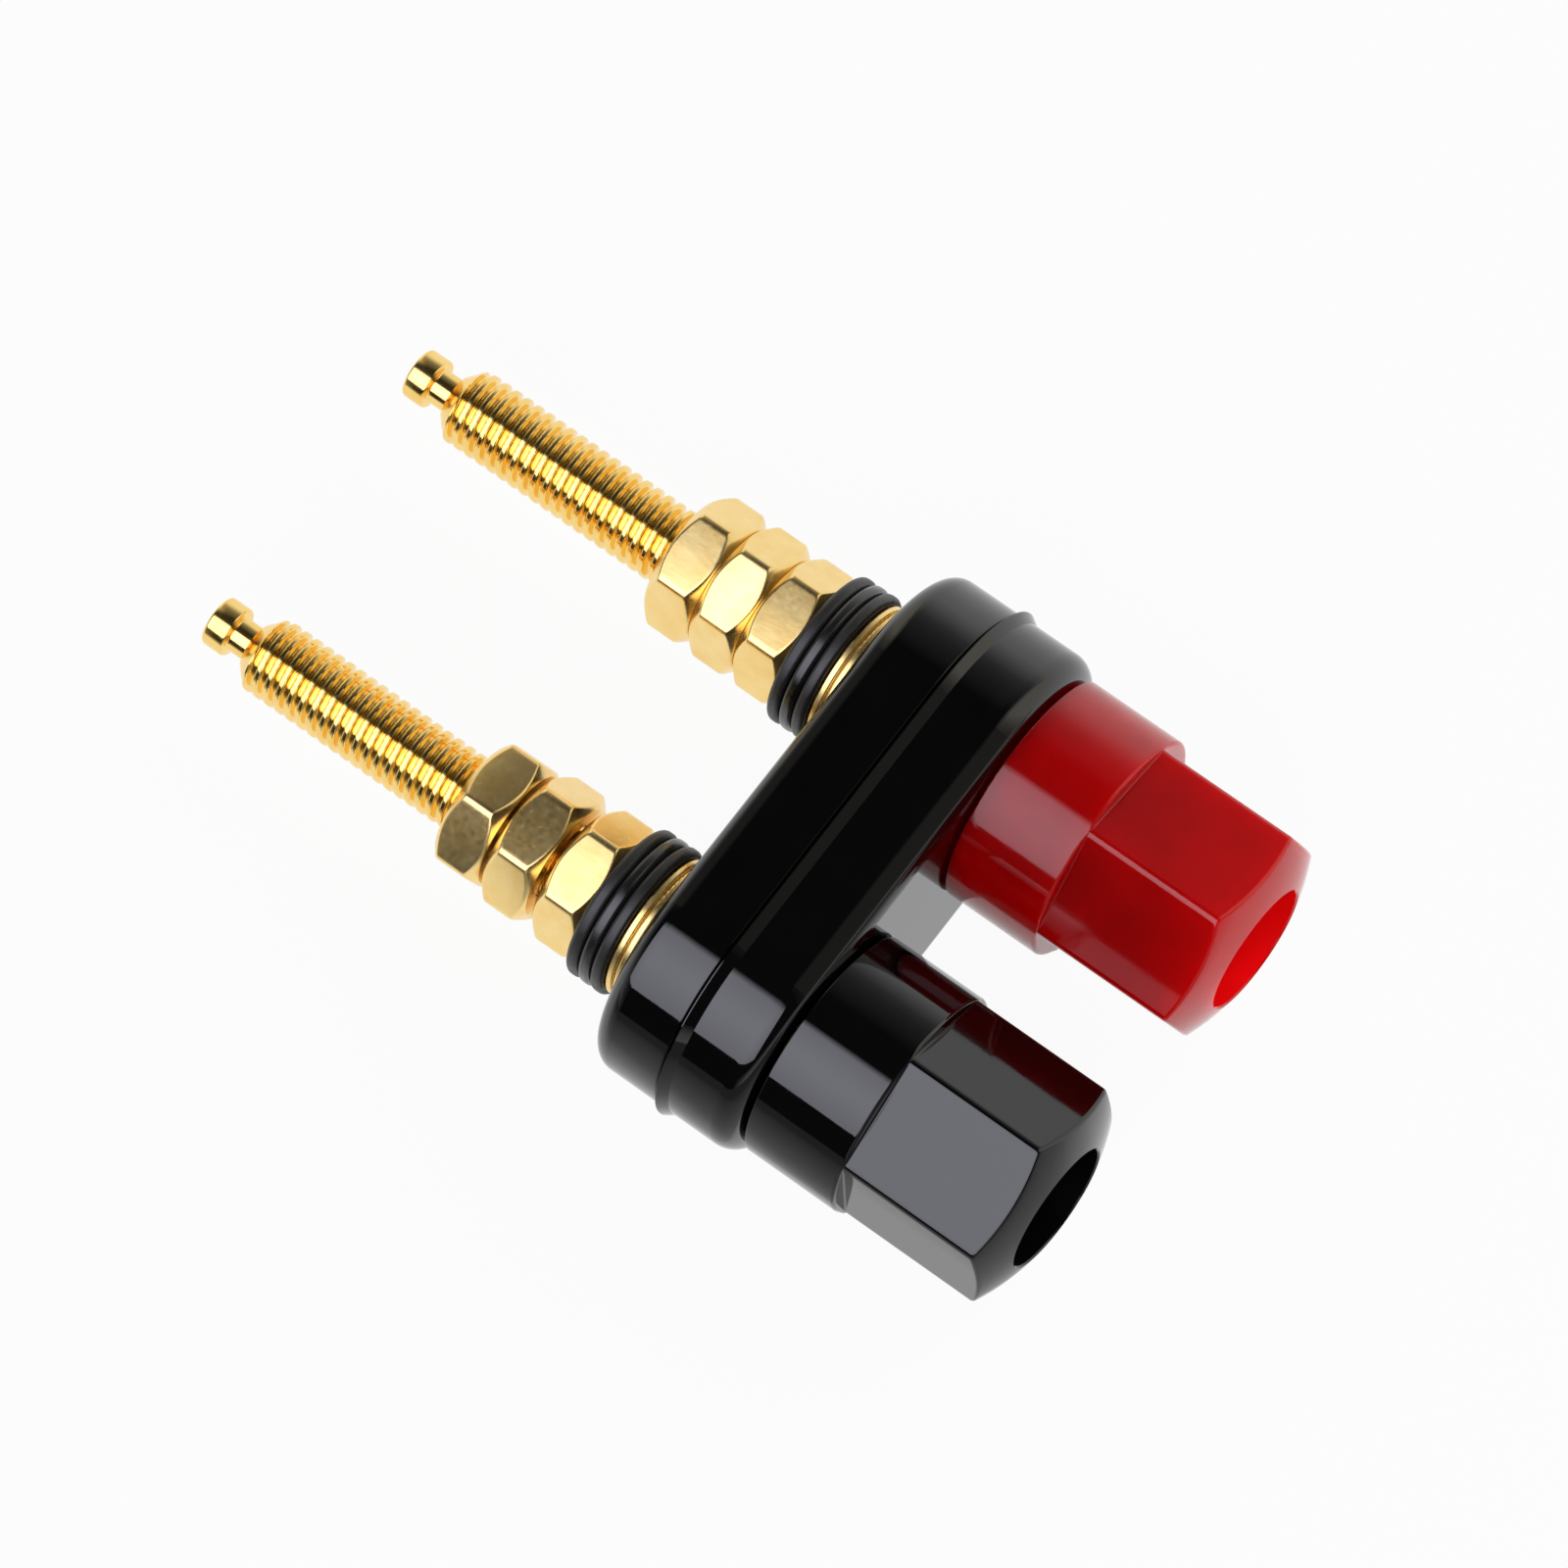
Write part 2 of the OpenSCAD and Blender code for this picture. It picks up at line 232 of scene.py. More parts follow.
def swept(x0, angles, profile):
    """Points of a profile (angle, point, [radius, y]) swept round a post's axis, and their numbers."""
    r, y = profile[..., 0], profile[..., 1]
    a = angles[:, None]
    verts = np.stack([x0 - r * np.sin(a), y, r * np.cos(a)], axis=-1)
    return verts.reshape(-1, 3), np.arange(r.size).reshape(r.shape)


def ring_mesh(x0, angles, profile):
    """Vertices and faces of a closed outline swept into a ring."""
    verts, here = swept(x0, angles, profile)
    beside = np.roll(here, -1, axis=0)
    quads = np.stack([here, np.roll(here, -1, 1), np.roll(beside, -1, 1), beside], axis=-1)
    return verts, quads.reshape(-1, 4).tolist()


def rod_mesh(x0, angles, profile):
    """Vertices and faces of an open outline swept round the axis, both ends closed by a fan."""
    verts, here = swept(x0, angles, profile)
    beside = np.roll(here, -1, axis=0)
    quads = np.stack([here[:, :-1], here[:, 1:], beside[:, 1:], beside[:, :-1]], axis=-1)
    faces = quads.reshape(-1, 4).tolist()
    first, last = len(verts), len(verts) + 1
    for a, b in zip(here.tolist(), beside.tolist()):
        faces.append([first, a[0], b[0]])
        faces.append([last, b[-1], a[-1]])
    ends = [[x0, y, 0] for y in profile[0, [0, -1], 1]]
    return np.concatenate([verts, ends]), faces


@contextmanager
def open_mesh(obj):
    """The object's mesh, open for changes."""
    bm = bmesh.new()
    bm.from_mesh(obj.data)
    yield bm
    bm.to_mesh(obj.data)
    bm.free()


def outward(obj):
    """Turns all faces of a closed mesh outwards."""
    with open_mesh(obj) as bm:
        bmesh.ops.recalc_face_normals(bm, faces=bm.faces)
    return obj


def clean_cut(obj):
    """Takes away the needless points, and the faces without area, that a cut leaves along its edge."""
    with open_mesh(obj) as bm:
        bmesh.ops.dissolve_verts(bm, verts=[point for point in bm.verts if len(point.link_edges) == 2])
        bmesh.ops.triangulate(bm, faces=bm.faces)
        bmesh.ops.dissolve_degenerate(bm, edges=bm.edges, dist=CUT_TOLERANCE * MM)
    return obj


def even_normals(obj):
    """Keeps flats flat where they run into small roundings."""
    mod = obj.modifiers.new("even_normals", "WEIGHTED_NORMAL")
    mod.keep_sharp = True
    mod.weight = FLAT_WEIGHT
    return obj


def ring_object(name, x0, angles, corners, steps):
    """A ring with an outline of corners (radius, y, rounding); radius and y may vary with the angle."""
    points = [np.stack(np.broadcast_arrays(r, y, angles)[:2], axis=-1) for r, y, _ in corners]
    profile = rounded(np.stack(points, axis=1), [rounding for _, _, rounding in corners], steps)
    return outward(make_object(name, *ring_mesh(x0, angles, profile)))


def spread(*stretches):
    """Stations of stretches (from, to, step) joined into one list without repeats."""
    parts = [np.linspace(a, b, max(2, int(round(abs(b - a) / step)) + 1)) for a, b, step in stretches]
    return np.unique(np.round(np.concatenate(parts), STATION_DIGITS))


def thread_form(phase):
    """Height of a thread over one pitch, 0 at the root and 1 at the crest, with soft crest and root."""
    off_crest = np.abs((phase % 1) - 0.5) * 2
    slope = np.clip((off_crest - CREST_SHARE) / FLANK_SHARE, 0, 1)
    return 1 - slope * slope * (3 - 2 * slope)


def threaded(angles, stations, radius, pitch, depth, start, end):
    """Profile of a right-hand thread at the stations, fading out at its start and end."""
    a, y = angles[:, None], stations[None, :]
    height = thread_form(y / pitch + a / (2 * math.pi))
    inside = np.clip((y - start) / THREAD_FADE, 0, 1) * np.clip((end - y) / THREAD_FADE, 0, 1)
    r = radius - depth * (1 - height) * inside
    return np.stack([r, np.broadcast_to(y, r.shape)], axis=-1)


def all_round(points):
    """The same points of a profile at every step round a post."""
    points = np.asarray(points)
    return np.broadcast_to(points, (POST_STEPS,) + points.shape)


# Materials

def grey(level):
    return (level, level, level, 1)


class Nodes:
    """Short ways to build a node tree."""

    def __init__(self, tree):
        self.tree = tree

    def node(self, kind, **settings):
        """A new node, with its own settings and the values of its inputs."""
        made = self.tree.nodes.new(kind)
        for name, value in settings.items():
            if hasattr(made, name):
                setattr(made, name, value)
            else:
                made.inputs[name].default_value = value
        return made

    def link(self, source, target):
        self.tree.links.new(source, target)

    def coordinate(self, kind):
        return self.node("ShaderNodeTexCoord").outputs[kind]

    def axes(self, vector):
        """The X, Y and Z of a vector."""
        made = self.node("ShaderNodeSeparateXYZ")
        self.link(vector, made.inputs[0])
        return [made.outputs[axis] for axis in "XYZ"]

    def math(self, operation, *values):
        """Result of an operation on sockets and plain numbers."""
        made = self.node("ShaderNodeMath", operation=operation)
        for target, value in zip(made.inputs, values):
            if isinstance(value, float):
                target.default_value = value
            else:
                self.link(value, target)
        return made.outputs[0]

    def measure(self, operation, vector, other):
        """Result of a vector operation, such as a distance, between a socket and a plain vector."""
        made = self.node("ShaderNodeVectorMath", operation=operation)
        self.link(vector, made.inputs[0])
        made.inputs[1].default_value = other
        return made.outputs["Value"]

    def stops(self, value, stops):
        """Colour ramp through stops, each a place with a level or a colour."""
        made = self.node("ShaderNodeValToRGB")
        elements = made.color_ramp.elements
        while len(elements) < len(stops):
            elements.new(0.5)
        for k, (place, level) in enumerate(stops):
            elements[k].position = place
            elements[k].color = grey(level) if isinstance(level, float) else level
        self.link(value, made.inputs["Fac"])
        return made.outputs["Color"]

    def span(self, value, low, high, start, end):
        """Level that runs from low to high while the value runs from start to end."""
        made = self.node("ShaderNodeMapRange")
        for name, setting in (("From Min", start), ("From Max", end), ("To Min", low), ("To Max", high)):
            made.inputs[name].default_value = setting
        self.link(value, made.inputs["Value"])
        return made.outputs["Result"]


class Shader(Nodes):
    """A material with one Principled shader, unless another surface takes its place."""

    def __init__(self, name):
        self.material = bpy.data.materials.new(name)
        self.material.use_nodes = True
        super().__init__(self.material.node_tree)
        self.principled = self.tree.nodes["Principled BSDF"]

    def set(self, name, value):
        self.principled.inputs[name].default_value = value

    def feed(self, name, source):
        self.link(source, self.principled.inputs[name])

    def show(self, surface):
        """Puts another surface in the place of the Principled shader."""
        self.tree.nodes.remove(self.principled)
        self.link(surface, self.tree.nodes["Material Output"].inputs["Surface"])

    def noise(self, scale, detail, rough=0.5, stretch=(1, 1, 1)):
        mapping = self.node("ShaderNodeMapping", Scale=stretch)
        self.link(self.coordinate("Object"), mapping.inputs["Vector"])
        made = self.node("ShaderNodeTexNoise", Scale=scale, Detail=detail, Roughness=rough)
        self.link(mapping.outputs["Vector"], made.inputs["Vector"])
        return made.outputs["Fac"]

    def bump(self, height, distance, over=None):
        """Normal of a bump, laid over another one if that is given."""
        made = self.node("ShaderNodeBump", Strength=1.0, Distance=distance)
        self.link(height, made.inputs["Height"])
        if over is not None:
            self.link(over, made.inputs["Normal"])
        return made.outputs["Normal"]


# Most of a noise lies between these two values
NOISE_LOW = 0.3
NOISE_HIGH = 0.7

# Noises of the materials, by what they vary
POLISH = {"detail": 5, "rough": 0.6}
PLASTIC_COLOUR = {"scale": 260, "detail": 3}
PLASTIC_POLISH = {"scale": 900, **POLISH}
PLASTIC_WAVE = {"scale": 170, "detail": 2}
PLASTIC_GRAIN = {"scale": 5200, "detail": 3}
PLASTIC_GRAIN_SHARE = 0.04
GOLD_COLOUR = {"scale": 700, "detail": 4}
GOLD_WAVE_DETAIL = 2
GOLD_MARKS = {"scale": 1800, "detail": 4, "rough": 0.6}


def plastic(name, low, high, rough, ior, wave, depth=None):
    """Moulded plastic: faint colour flow, uneven polish and a slight moulded waviness."""
    s = Shader(name)
    s.set("IOR", ior)
    if depth:
        for setting, value in depth.items():
            s.set(setting, value)
    s.feed("Base Color", s.stops(s.noise(**PLASTIC_COLOUR), ((NOISE_LOW, low), (NOISE_HIGH, high))))
    s.feed("Roughness", s.span(s.noise(**PLASTIC_POLISH), *rough, NOISE_LOW, NOISE_HIGH))
    waves = s.bump(s.noise(**PLASTIC_WAVE), wave)
    s.feed("Normal", s.bump(s.noise(**PLASTIC_GRAIN), wave * PLASTIC_GRAIN_SHARE, waves))
    return s.material


def gold(name, low, high, rough, rough_scale, wave, wave_scale, marks, stretch):
    """Gold plating over turned brass: tone and gloss vary a little, with faint tool marks under it."""
    s = Shader(name)
    s.set("Metallic", 1.0)
    s.feed("Base Color", s.stops(s.noise(**GOLD_COLOUR), ((NOISE_LOW, low), (NOISE_HIGH, high))))
    s.feed("Roughness", s.span(s.noise(rough_scale, **POLISH), *rough, NOISE_LOW, NOISE_HIGH))
    waves = s.bump(s.noise(wave_scale, GOLD_WAVE_DETAIL), wave)
    s.feed("Normal", s.bump(s.noise(**GOLD_MARKS, stretch=stretch), marks, waves))
    return s.material


RED_DEPTH = {"Subsurface Weight": 1.0, "Subsurface Radius": (1.0, 0.03, 0.03), "Subsurface Scale": 0.009}
BORE_LOOKS = {"rough": (0.4, 0.5), "ior": 1.1, "wave": 0.00001}
RING_TONES = {"low": grey(0.004), "high": grey(0.009)}
TURNED_TONES = {"low": (0.93, 0.62, 0.17, 1), "high": (0.97, 0.7, 0.25, 1)}
NUT_TONES = {"low": (0.92, 0.64, 0.23, 1), "high": (0.96, 0.72, 0.31, 1)}
MATERIALS = {
    "red": plastic("red_moulded", (0.42, 0.0006, 0.0012, 1), (0.5, 0.0010, 0.0022, 1),
                   rough=(0.05, 0.1), ior=1.5, wave=0.00001, depth=RED_DEPTH),
    # Painted glow: the red cap's inside is painted nearly twice as bright as its outside, standing for light
    # shining through the wall
    "red_bore": plastic("red_moulded_bore_painted_glow", (0.85, 0.002, 0.003, 1), (0.95, 0.003, 0.005, 1), **BORE_LOOKS),
    "black_bore": plastic("black_moulded_bore", grey(0.001), grey(0.002), **BORE_LOOKS),
    "black": plastic("black_moulded", grey(0.0008), grey(0.0016), rough=(0.03, 0.06), ior=1.64, wave=0.00001),
    "ring": plastic("black_insulator", **RING_TONES, rough=(0.38, 0.52), ior=1.6, wave=0.00002),
    "ring_gloss": plastic("black_insulator_polished", **RING_TONES, rough=(0.2, 0.3), ior=1.64, wave=0.00001),
    "turned": gold("gold_turned", **TURNED_TONES, rough=(0.1, 0.16), rough_scale=1500,
                   wave=0.000003, wave_scale=900, marks=0.0000012, stretch=(1, 14, 1)),
    "nut": gold("gold_nut", **NUT_TONES, rough=(0.21, 0.28), rough_scale=2600,
                wave=0.000003, wave_scale=1500, marks=0.000003, stretch=(1, 0.25, 1)),
    "washer": gold("gold_washer", **NUT_TONES, rough=(0.24, 0.34), rough_scale=1500,
                   wave=0.000004, wave_scale=900, marks=0.000002, stretch=(1, 1, 1)),
}

# Finishes of the nodes by how their names start; the rings have their own rule, and the others are turned
NODE_FINISHES = {"front_plate": "black", "rear_plate": "black", "cap_black": "black", "cap_red": "red",
                 "nut_": "nut", "washer_": "washer"}


def finish_of(node):
    if node.startswith("ring_"):
        return "ring_gloss" if node.endswith("_2") else "ring"
    for start, finish in NODE_FINISHES.items():
        if node.startswith(start):
            return finish
    return "turned"


def paint(obj, finish):
    obj.data.materials.clear()
    obj.data.materials.append(MATERIALS[finish])


def line_bore(cap, finish, bore_faces):
    """Gives the inside of a cap, the last faces of each step round it, an unpolished finish of its own. The
    red cap's inside is also painted far brighter than its outside, a painted glow that stands for light
    shining through the red wall.
    """
    cap.data.materials.append(MATERIALS[finish])
    count = len(cap.data.polygons) // CAP_STEPS
    for face in cap.data.polygons:
        if face.index % count >= count - bore_faces:
            face.material_index = 1


# Pieces

def make_cap(colour):
    """A screw cap: round collar, hexagonal grip, domed end with an open mouth and a pocket for the insert."""
    node = "cap_" + colour
    lo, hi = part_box(node)
    mouth, root = lo.y / MM, hi.y / MM
    collar_end = root - COLLAR_L
    rim = MOUTH_R + MOUTH_BEVEL
    dome_centre = mouth + math.sqrt(DOME_R ** 2 - rim ** 2)
    angles = full_circle(CAP_STEPS)
    grip = hex_radius(angles, GRIP_AF, math.radians(GRIP_TURN[colour]), GRIP_CORNER_R)

    def on_dome(r, rounding):
        return r, dome_centre - np.sqrt(DOME_R ** 2 - r ** 2), rounding

    outside = [(ROOT_R, root, ROOT_EDGE_R), (COLLAR_R, root, COLLAR_ROOT_R),
               (COLLAR_R, collar_end, COLLAR_EDGE_R), (grip, collar_end, GRIP_ROOT_R),
               on_dome(grip, DOME_EDGE_R)]
    outside += [on_dome(grip + (rim - grip) * share, 0) for share in DOME_SHARES]
    outside.append((rim, mouth, 0))
    bore = [(MOUTH_R, mouth + MOUTH_BEVEL, 0), (MOUTH_R, POCKET_Y[0], 0), (POCKET_R, POCKET_Y[0], 0),
            (POCKET_R, POCKET_Y[1], 0), (ROOT_R, POCKET_Y[1], 0)]
    cap = even_normals(ring_object(node + "_moulded", POST_X[colour], angles, outside + bore, CAP_ROUNDING))
    paint(cap, colour)
    line_bore(cap, colour + "_bore", len(bore))
    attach(cap, colour + "_cap")
    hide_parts(node)


def make_nut(colour, place):
    """A hexagon nut, chamfered on both faces."""
    node = f"nut_{colour}_{place}"
    lo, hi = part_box(node)
    front, rear = lo.y / MM, hi.y / MM
    angles = full_circle(NUT_STEPS)
    side = hex_radius(angles, NUT_AF, math.radians(NUT_TURN[colour][place - 1]), NUT_CORNER_R)
    drop = (side - NUT_FACE_R) * math.tan(NUT_CHAMFER)
    mouth = NUT_BORE_R + NUT_BEVEL
    corners = [(mouth, front, 0), (NUT_FACE_R, front, NUT_FACE_EDGE_R), (side, front + drop, NUT_EDGE_R),
               (side, rear - drop, NUT_EDGE_R), (NUT_FACE_R, rear, NUT_FACE_EDGE_R), (mouth, rear, 0),
               (NUT_BORE_R, rear - NUT_BEVEL, 0), (NUT_BORE_R, front + NUT_BEVEL, 0)]
    nut = even_normals(ring_object(node + "_turned", POST_X[colour], angles, corners, NUT_ROUNDING))
    paint(nut, "nut")
    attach(nut, "base")
    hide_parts(node)


def make_stud(colour):
    """Rear half of a post: the threaded stud with its solder turret."""
    angles = full_circle(POST_STEPS)
    stations = spread((FLANGE_Y[1] - STUD_SINK, STUD_THREAD_START, PLAIN_STEP),
                      (STUD_THREAD_START, STUD_END, STUD_PITCH / STUD_RINGS))
    past_end = STUD_END + 2 * THREAD_FADE
    thread = threaded(angles, stations, STUD_R, STUD_PITCH, STUD_DEPTH, STUD_THREAD_START, past_end)
    chamfered = STUD_R - np.clip(stations - (STUD_END - STUD_CHAMFER), 0, STUD_CHAMFER)
    thread[..., 0] = np.minimum(thread[..., 0], chamfered)
    corners = [(AXIS_R, STUD_END), (NECK_R, STUD_END), (NECK_R, HEAD_Y[0]),
               (HEAD_R, HEAD_Y[0]), (HEAD_R, HEAD_Y[1]), (AXIS_R, HEAD_Y[1])]
    roundings = [0, NECK_ROOT_R, NECK_HEAD_R, TURNED_BEVEL, TURNED_BEVEL, 0]
    turret = rounded([corners], roundings, TURRET_ROUNDING)[0, 1:]
    profile = np.concatenate([thread, all_round(turret)], axis=1)
    return make_object(f"stud_{colour}", *rod_mesh(POST_X[colour], angles, profile))


def make_spigot(colour):
    """Front half of a post: the threaded spigot with its plug socket and wire hole."""
    x0 = POST_X[colour]
    angles = full_circle(POST_STEPS)
    stations = spread((STOP_GROOVE_Y[1], FLANGE_Y[0] + SPIGOT_SINK, SPIGOT_PITCH / SPIGOT_RINGS))
    thread = threaded(angles, stations, SPIGOT_R, SPIGOT_PITCH, SPIGOT_DEPTH, STOP_GROOVE_Y[1], FLANGE_Y[0])
    tip = [(SOCKET_R, SOCKET_FLOOR), (SOCKET_R, SPIGOT_END + SOCKET_BEVEL),
           (SOCKET_R + SOCKET_BEVEL, SPIGOT_END), (SPIGOT_R - TURNED_BEVEL, SPIGOT_END),
           (SPIGOT_R, SPIGOT_END + TURNED_BEVEL), (SPIGOT_R, STOP_GROOVE_Y[0]),
           (STOP_GROOVE_R, STOP_GROOVE_Y[0]), (STOP_GROOVE_R, STOP_GROOVE_Y[1])]
    back_y = FLANGE_Y[1] - BACK_SINK
    back = [(SPIGOT_R - BACK_STEP, back_y), (CORE_R, back_y), (CORE_R, SOCKET_FLOOR + SOCKET_TIP)]
    profile = np.concatenate([all_round(tip), thread, all_round(back)], axis=1)
    spigot = outward(make_object(f"spigot_{colour}", *ring_mesh(x0, angles, profile)))
    cut_wire_hole(spigot, x0)
    return clean_cut(spigot)


def cut_wire_hole(spigot, x0):
    """Cuts the cross hole for bare wire."""
    bpy.ops.mesh.primitive_cylinder_add(vertices=HOLE_STEPS, radius=WIRE_HOLE_R * MM,
                                        depth=2 * (SPIGOT_R + HOLE_OVERSHOOT) * MM,
                                        location=(x0 * MM, WIRE_HOLE_Y * MM, 0), rotation=(0, 0, HOLE_TURN))
    cutter = bpy.context.object
    cut = spigot.modifiers.new("wire_hole", "BOOLEAN")
    cut.object = cutter
    cut.operation = "DIFFERENCE"
    cut.solver = "EXACT"
    uncut = spigot.data
    depsgraph = bpy.context.evaluated_depsgraph_get()
    mesh = bpy.data.meshes.new_from_object(spigot.evaluated_get(depsgraph))
    spigot.modifiers.clear()
    spigot.data = mesh
    bpy.data.meshes.remove(uncut)
    bpy.data.objects.remove(cutter)


def make_flange(colour):
    """The hexagon between spigot and stud that keeps a post from turning."""
    angles = full_circle(FLANGE_STEPS)
    side = hex_radius(angles, FLANGE_AF, 0, FLANGE_CORNER_R)
    corners = [(SPIGOT_R - FLANGE_FRONT_STEP, FLANGE_Y[0], 0), (side, FLANGE_Y[0], FLANGE_EDGE_R),
               (side, FLANGE_Y[1], FLANGE_EDGE_R), (STUD_R - FLANGE_REAR_STEP, FLANGE_Y[1], 0)]
    return ring_object(f"flange_{colour}", POST_X[colour], angles, corners, FLANGE_ROUNDING)


def make_post(colour):
    """A whole post, joined from its stud, its spigot and its flange."""
    parts = [make_stud(colour), make_spigot(colour), make_flange(colour)]
    bpy.ops.object.select_all(action="DESELECT")
    for part in parts:
        part.select_set(True)
    post = parts[0]
    bpy.context.view_layer.objects.active = post
    bpy.ops.object.join()
    post.name = f"post_{colour}_threaded"
    post.data.name = post.name
    outward(post)
    paint(post, "turned")
    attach(post, "base")
    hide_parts("post_" + colour)


# Stage, light and camera

# Corners of a square, in order round it, and its middle
SQUARE = ((0, 0), (1, 0), (1, 1), (0, 1))
MIDDLE = (0.5, 0.5, 0)

# The floor glows fully under and behind the part, and less and less towards the left and the front; this fall
# is painted shade, which only reflections show
FLOOR_SIZE = 8.0
FLOOR_GREY = 0.8
FLOOR_GLOW_SHARE = 0.95
FLOOR_EDGE_LEFT = (0.0195, 0.0235)
FLOOR_EDGE_AHEAD = (0.0205, 0.0235)
FLOOR_FALL_ALONG = (-10, -7, 0)
FLOOR_FALL = ((0.19, 1.0), (0.22, 0.85), (0.25, 0.74), (0.28, 0.58), (0.32, 0.5),
              (0.37, 0.46), (0.43, 0.4), (0.56, 0.33), (1.0, 0.16))
LEFT = (-1, 0, 0)
AHEAD = (0, -1, 0)

# A lamp's glow falls to a share towards its edge, between two distances from its middle in shares of its size
LAMP_DISTANCE = 1.0
LAMP_FALL = (0.1, 0.62)
LAMP_EDGE_SHARE = 0.7
SOFTBOX_ANGLE = math.radians(-35.3)
SOFTBOX_SHIFT = 0.032
SOFTBOX_SIZE = (1.186, 2.1)
SOFTBOX_STRENGTH = 3.0
SOFTBOX_COLOUR = (0.88, 0.885, 1.0, 1)
SOFTBOX_FADE = 0.105
FILL_SIZE = (0.8, 0.8)
FILLS = {"fill_left": ((-0.62, -0.35, 0.7), 3.3), "fill_right": ((0.68, -0.35, 0.62), 3.1)}

# The world's sides begin where a direction leans far enough towards them, and their levels vary with height
RIGHT_SIDE = ((0.25, 0.0), (0.5, 1.0))
RIGHT_LEVELS = ((0.0, 0.97), (0.08, 0.97), (0.21, 0.8), (0.34, 0.55), (0.465, 0.28), (0.58, 0.17),
                (0.68, 0.115), (0.77, 0.07), (0.87, 0.0))
OTHER_SIDES = ((0.3, 0.0), (0.7, 1.0))
BEHIND_LEVELS = ((0.0, 0.7), (0.25, 0.3), (0.5, 0.0))
FRONT_LEVELS = ((0.0, 0.8), (0.1, 0.5), (0.2, 0.0))
ROOM_LEVEL = 0.03
ROOM_TINT = (0.97, 0.98, 1.0, 1)
SKY_BEHIND = ((0.34, 0.0), (0.52, 1.0))
SKY_AHEAD = ((0.1, 0.0), (0.35, 1.0))
SKY_LEVELS = ((0.1, 0.03), (0.3, 0.25), (0.5, 1.0))
SKY_TINT = (1.0, 0.94, 0.82, 1)
SKY_TINT_FROM = 0.3

# The photograph's viewpoint: place, lens and sensor in millimetres, turns about X, Y and Z in degrees
CAMERA_PLACE = (-128.0702, -135.5154, 537.2306)
CAMERA_TURNS = (19.3138, 3.6488, -52.8889)
CAMERA_LENS = 228.1243
CAMERA_SENSOR = 36.0
CAMERA_CLIP = (0.01, 50)


def quad_mesh(name, corners):
    mesh = bpy.data.meshes.new(name)
    mesh.from_pydata(corners, [], [(0, 1, 2, 3)])
    return mesh


def emitter(name, centre, toward, size, strength, colour=grey(1.0), fade=0.0):
    """A rectangle that glows towards the part, dimmer at its edge, fading in over a share of its width."""
    facing = -toward
    across = Vector((0, 1, 0)).cross(facing).normalized()
    along = facing.cross(across)
    width, length = size
    corners = [centre + across * (u - 0.5) * width + along * (v - 0.5) * length for u, v in SQUARE]
    mesh = quad_mesh(name, corners)
    for corner, at in zip(mesh.uv_layers.new(name="UVMap").data, SQUARE):
        corner.uv = at
    lamp = place_object(name, mesh)
    s = Shader(name + "_glow")
    uv = s.coordinate("UV")
    level = s.span(s.measure("DISTANCE", uv, MIDDLE), strength, strength * LAMP_EDGE_SHARE, *LAMP_FALL)
    if fade:
        level = s.math("MULTIPLY", level, s.span(s.axes(uv)[0], 0.0, 1.0, 0.0, fade))
    glow = s.node("ShaderNodeEmission", Color=colour)
    s.link(level, glow.inputs["Strength"])
    s.show(glow.outputs["Emission"])
    mesh.materials.append(s.material)
    lamp.visible_camera = False
    lamp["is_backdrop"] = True
    return lamp


def make_lamps():
    """A softbox that only reflections show, and two fills that only matt surfaces show."""
    toward = Vector((math.sin(SOFTBOX_ANGLE), 0, math.cos(SOFTBOX_ANGLE)))
    overhead = Vector((toward.z, 0, -toward.x))
    softbox = emitter("softbox", toward * LAMP_DISTANCE + overhead * SOFTBOX_SHIFT, toward, SOFTBOX_SIZE,
                      SOFTBOX_STRENGTH, SOFTBOX_COLOUR, SOFTBOX_FADE)
    softbox.visible_diffuse = False
    for name, (direction, strength) in FILLS.items():
        toward = Vector(direction).normalized()
        fill = emitter(name, toward * LAMP_DISTANCE, toward, FILL_SIZE, strength)
        fill.visible_glossy = False


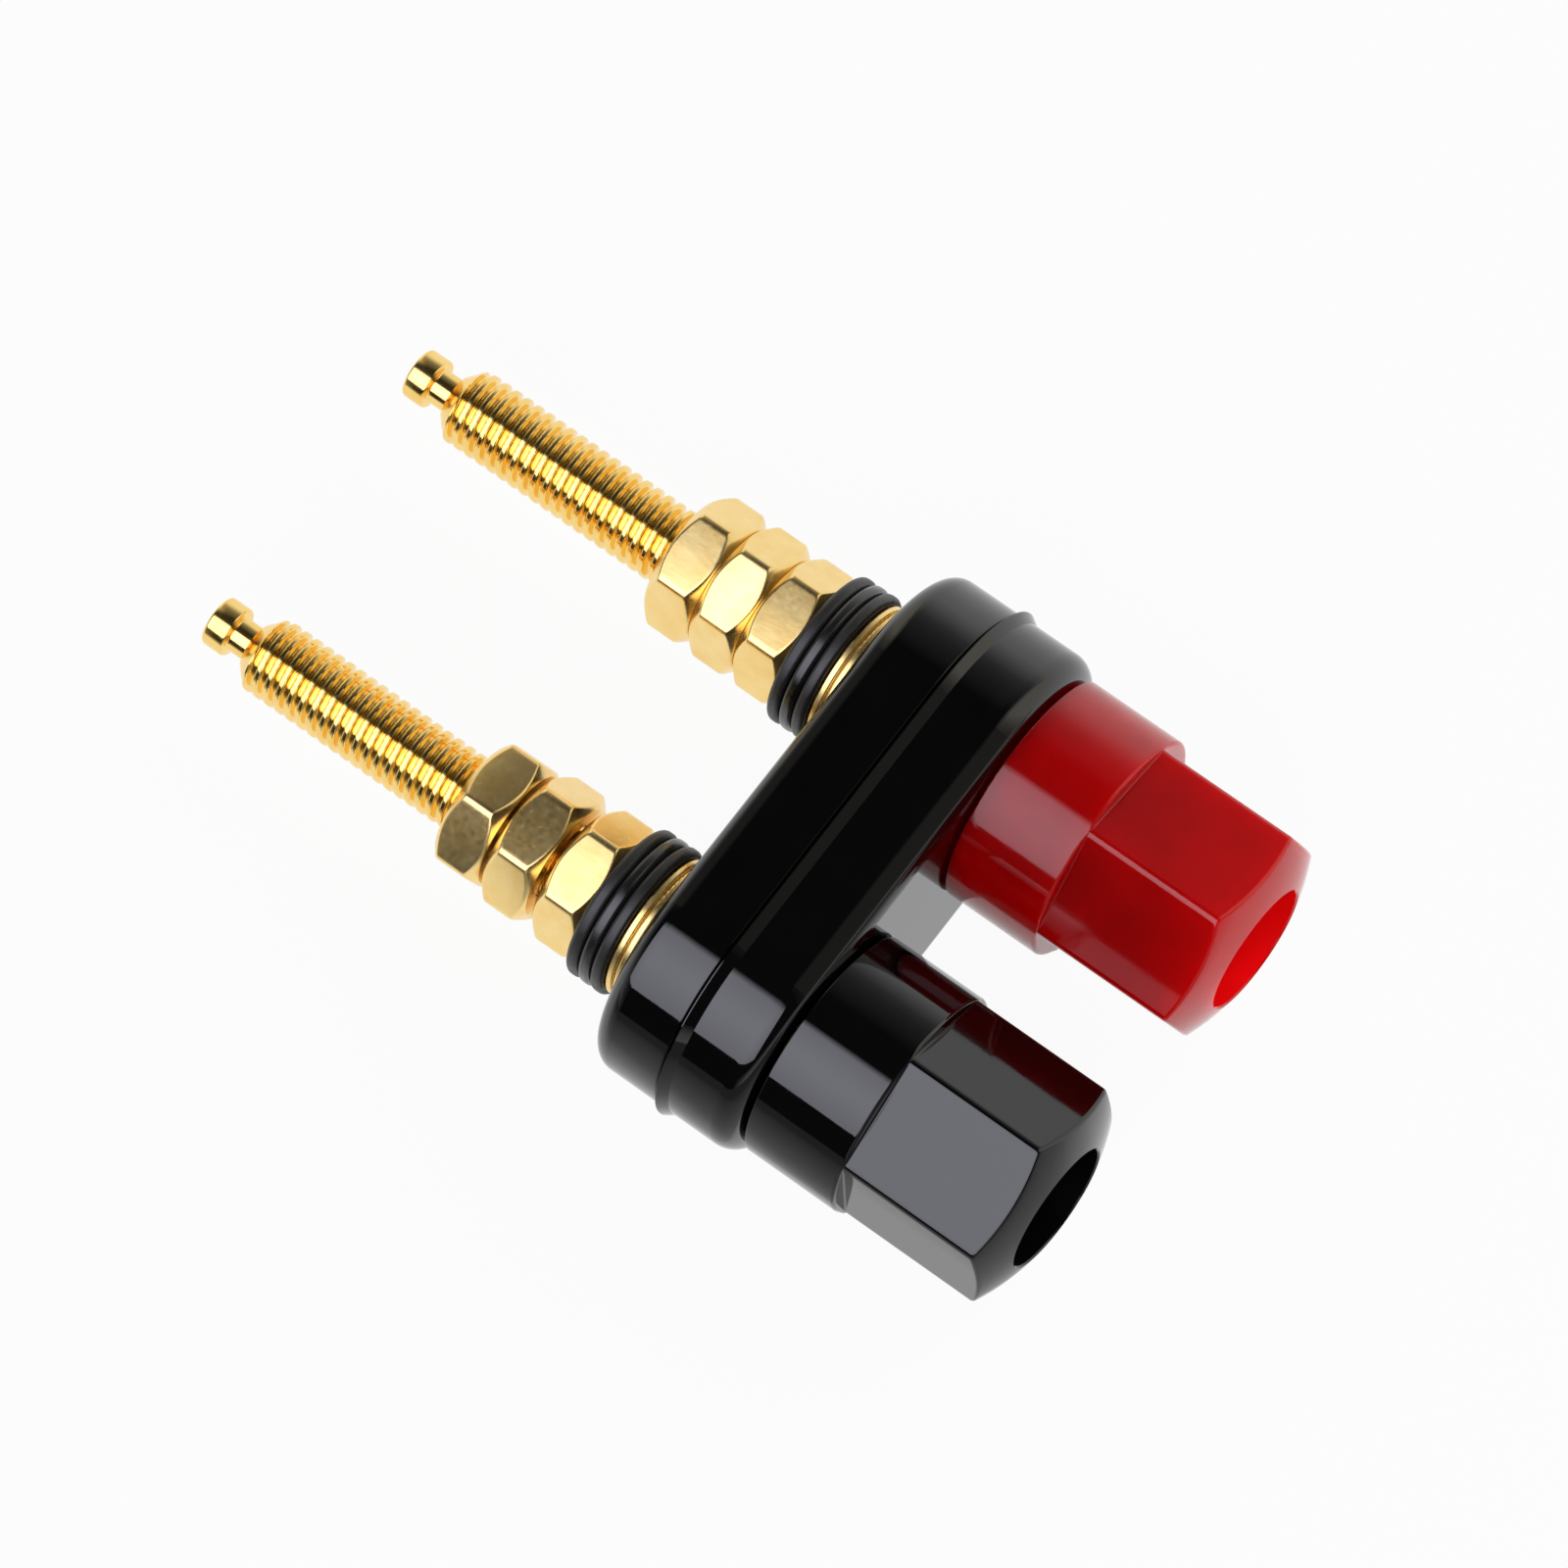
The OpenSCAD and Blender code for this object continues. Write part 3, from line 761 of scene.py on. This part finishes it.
def make_floor(height):
    """A floor that is white to the camera, shows its falling glow, a painted shade, in reflections and takes
    a faint shadow.
    """
    corners = [((u - 0.5) * FLOOR_SIZE, (v - 0.5) * FLOOR_SIZE, height) for u, v in SQUARE]
    floor = place_object("floor", quad_mesh("floor", corners))
    s = Shader("floor_white")
    rays = s.node("ShaderNodeLightPath").outputs
    at = s.coordinate("Object")
    # Painted shade: the glow that reflections see drops beyond the part's left and front edges, and falls
    # further out along FLOOR_FALL_ALONG
    beside = s.math("MULTIPLY", s.span(s.measure("DOT_PRODUCT", at, LEFT), 1.0, 0.0, *FLOOR_EDGE_LEFT),
                    s.span(s.measure("DOT_PRODUCT", at, AHEAD), 1.0, 0.0, *FLOOR_EDGE_AHEAD))
    away = s.stops(s.measure("DOT_PRODUCT", at, FLOOR_FALL_ALONG), FLOOR_FALL)
    level = s.math("MAXIMUM", s.math("MAXIMUM", beside, away), rays["Is Camera Ray"])
    glow = s.node("ShaderNodeEmission", Color=grey(1.0))
    s.link(level, glow.inputs["Strength"])
    matt = s.node("ShaderNodeBsdfDiffuse", Color=grey(FLOOR_GREY))
    seen = s.math("MAXIMUM", rays["Is Camera Ray"], rays["Is Glossy Ray"])
    seen = s.math("MAXIMUM", seen, rays["Is Transmission Ray"])
    mix = s.node("ShaderNodeMixShader")
    s.link(s.math("MULTIPLY", seen, FLOOR_GLOW_SHARE), mix.inputs["Fac"])
    s.link(matt.outputs["BSDF"], mix.inputs[1])
    s.link(glow.outputs["Emission"], mix.inputs[2])
    s.show(mix.outputs["Shader"])
    floor.data.materials.append(s.material)
    floor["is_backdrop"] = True


def make_world():
    """A dark room with a pale sweep low down on three sides, and a slightly warm sky on the right.

    The sky leaves out a band between front and back, which is all that the cylinders and flats mirror to the
    camera, so it lights the threads and the chamfers.
    """
    world = bpy.data.worlds.new("studio")
    bpy.context.scene.world = world
    world.use_nodes = True
    n = Nodes(world.node_tree)
    x, y, up = n.axes(n.coordinate("Generated"))
    ahead = n.math("MULTIPLY", y, -1.0)
    right = n.math("MULTIPLY", n.stops(x, RIGHT_SIDE), n.stops(up, RIGHT_LEVELS))
    behind = n.math("MULTIPLY", n.stops(y, OTHER_SIDES), n.stops(up, BEHIND_LEVELS))
    front = n.math("MULTIPLY", n.stops(ahead, OTHER_SIDES), n.stops(up, FRONT_LEVELS))
    sweep = n.math("MAXIMUM", right, n.math("MAXIMUM", behind, front))
    beside_band = n.math("MAXIMUM", n.stops(y, SKY_BEHIND), n.stops(ahead, SKY_AHEAD))
    sky = n.math("MULTIPLY", beside_band, n.stops(x, SKY_LEVELS))
    background = n.tree.nodes["Background"]
    n.link(n.math("MAXIMUM", n.math("ADD", sweep, ROOM_LEVEL), sky), background.inputs["Strength"])
    n.link(n.stops(sky, ((0.0, ROOM_TINT), (SKY_TINT_FROM, SKY_TINT))), background.inputs["Color"])


def make_camera():
    camera = bpy.data.cameras.new("camera")
    camera.sensor_width = CAMERA_SENSOR
    camera.lens = CAMERA_LENS
    camera.clip_start, camera.clip_end = CAMERA_CLIP
    obj = place_object("camera", camera)
    turn = Euler([math.radians(angle) for angle in CAMERA_TURNS]).to_matrix().to_4x4()
    obj.matrix_world = Matrix.Translation(Vector(CAMERA_PLACE) * MM) @ turn
    bpy.context.scene.camera = obj


for colour in POSTS:
    make_cap(colour)
    make_post(colour)
    for place in NUTS:
        make_nut(colour, place)
for node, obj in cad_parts.items():
    paint(obj, finish_of(node))

make_floor(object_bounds()[0].z)
make_lamps()
make_world()
make_camera()
bpy.context.scene.view_settings.view_transform = "Standard"
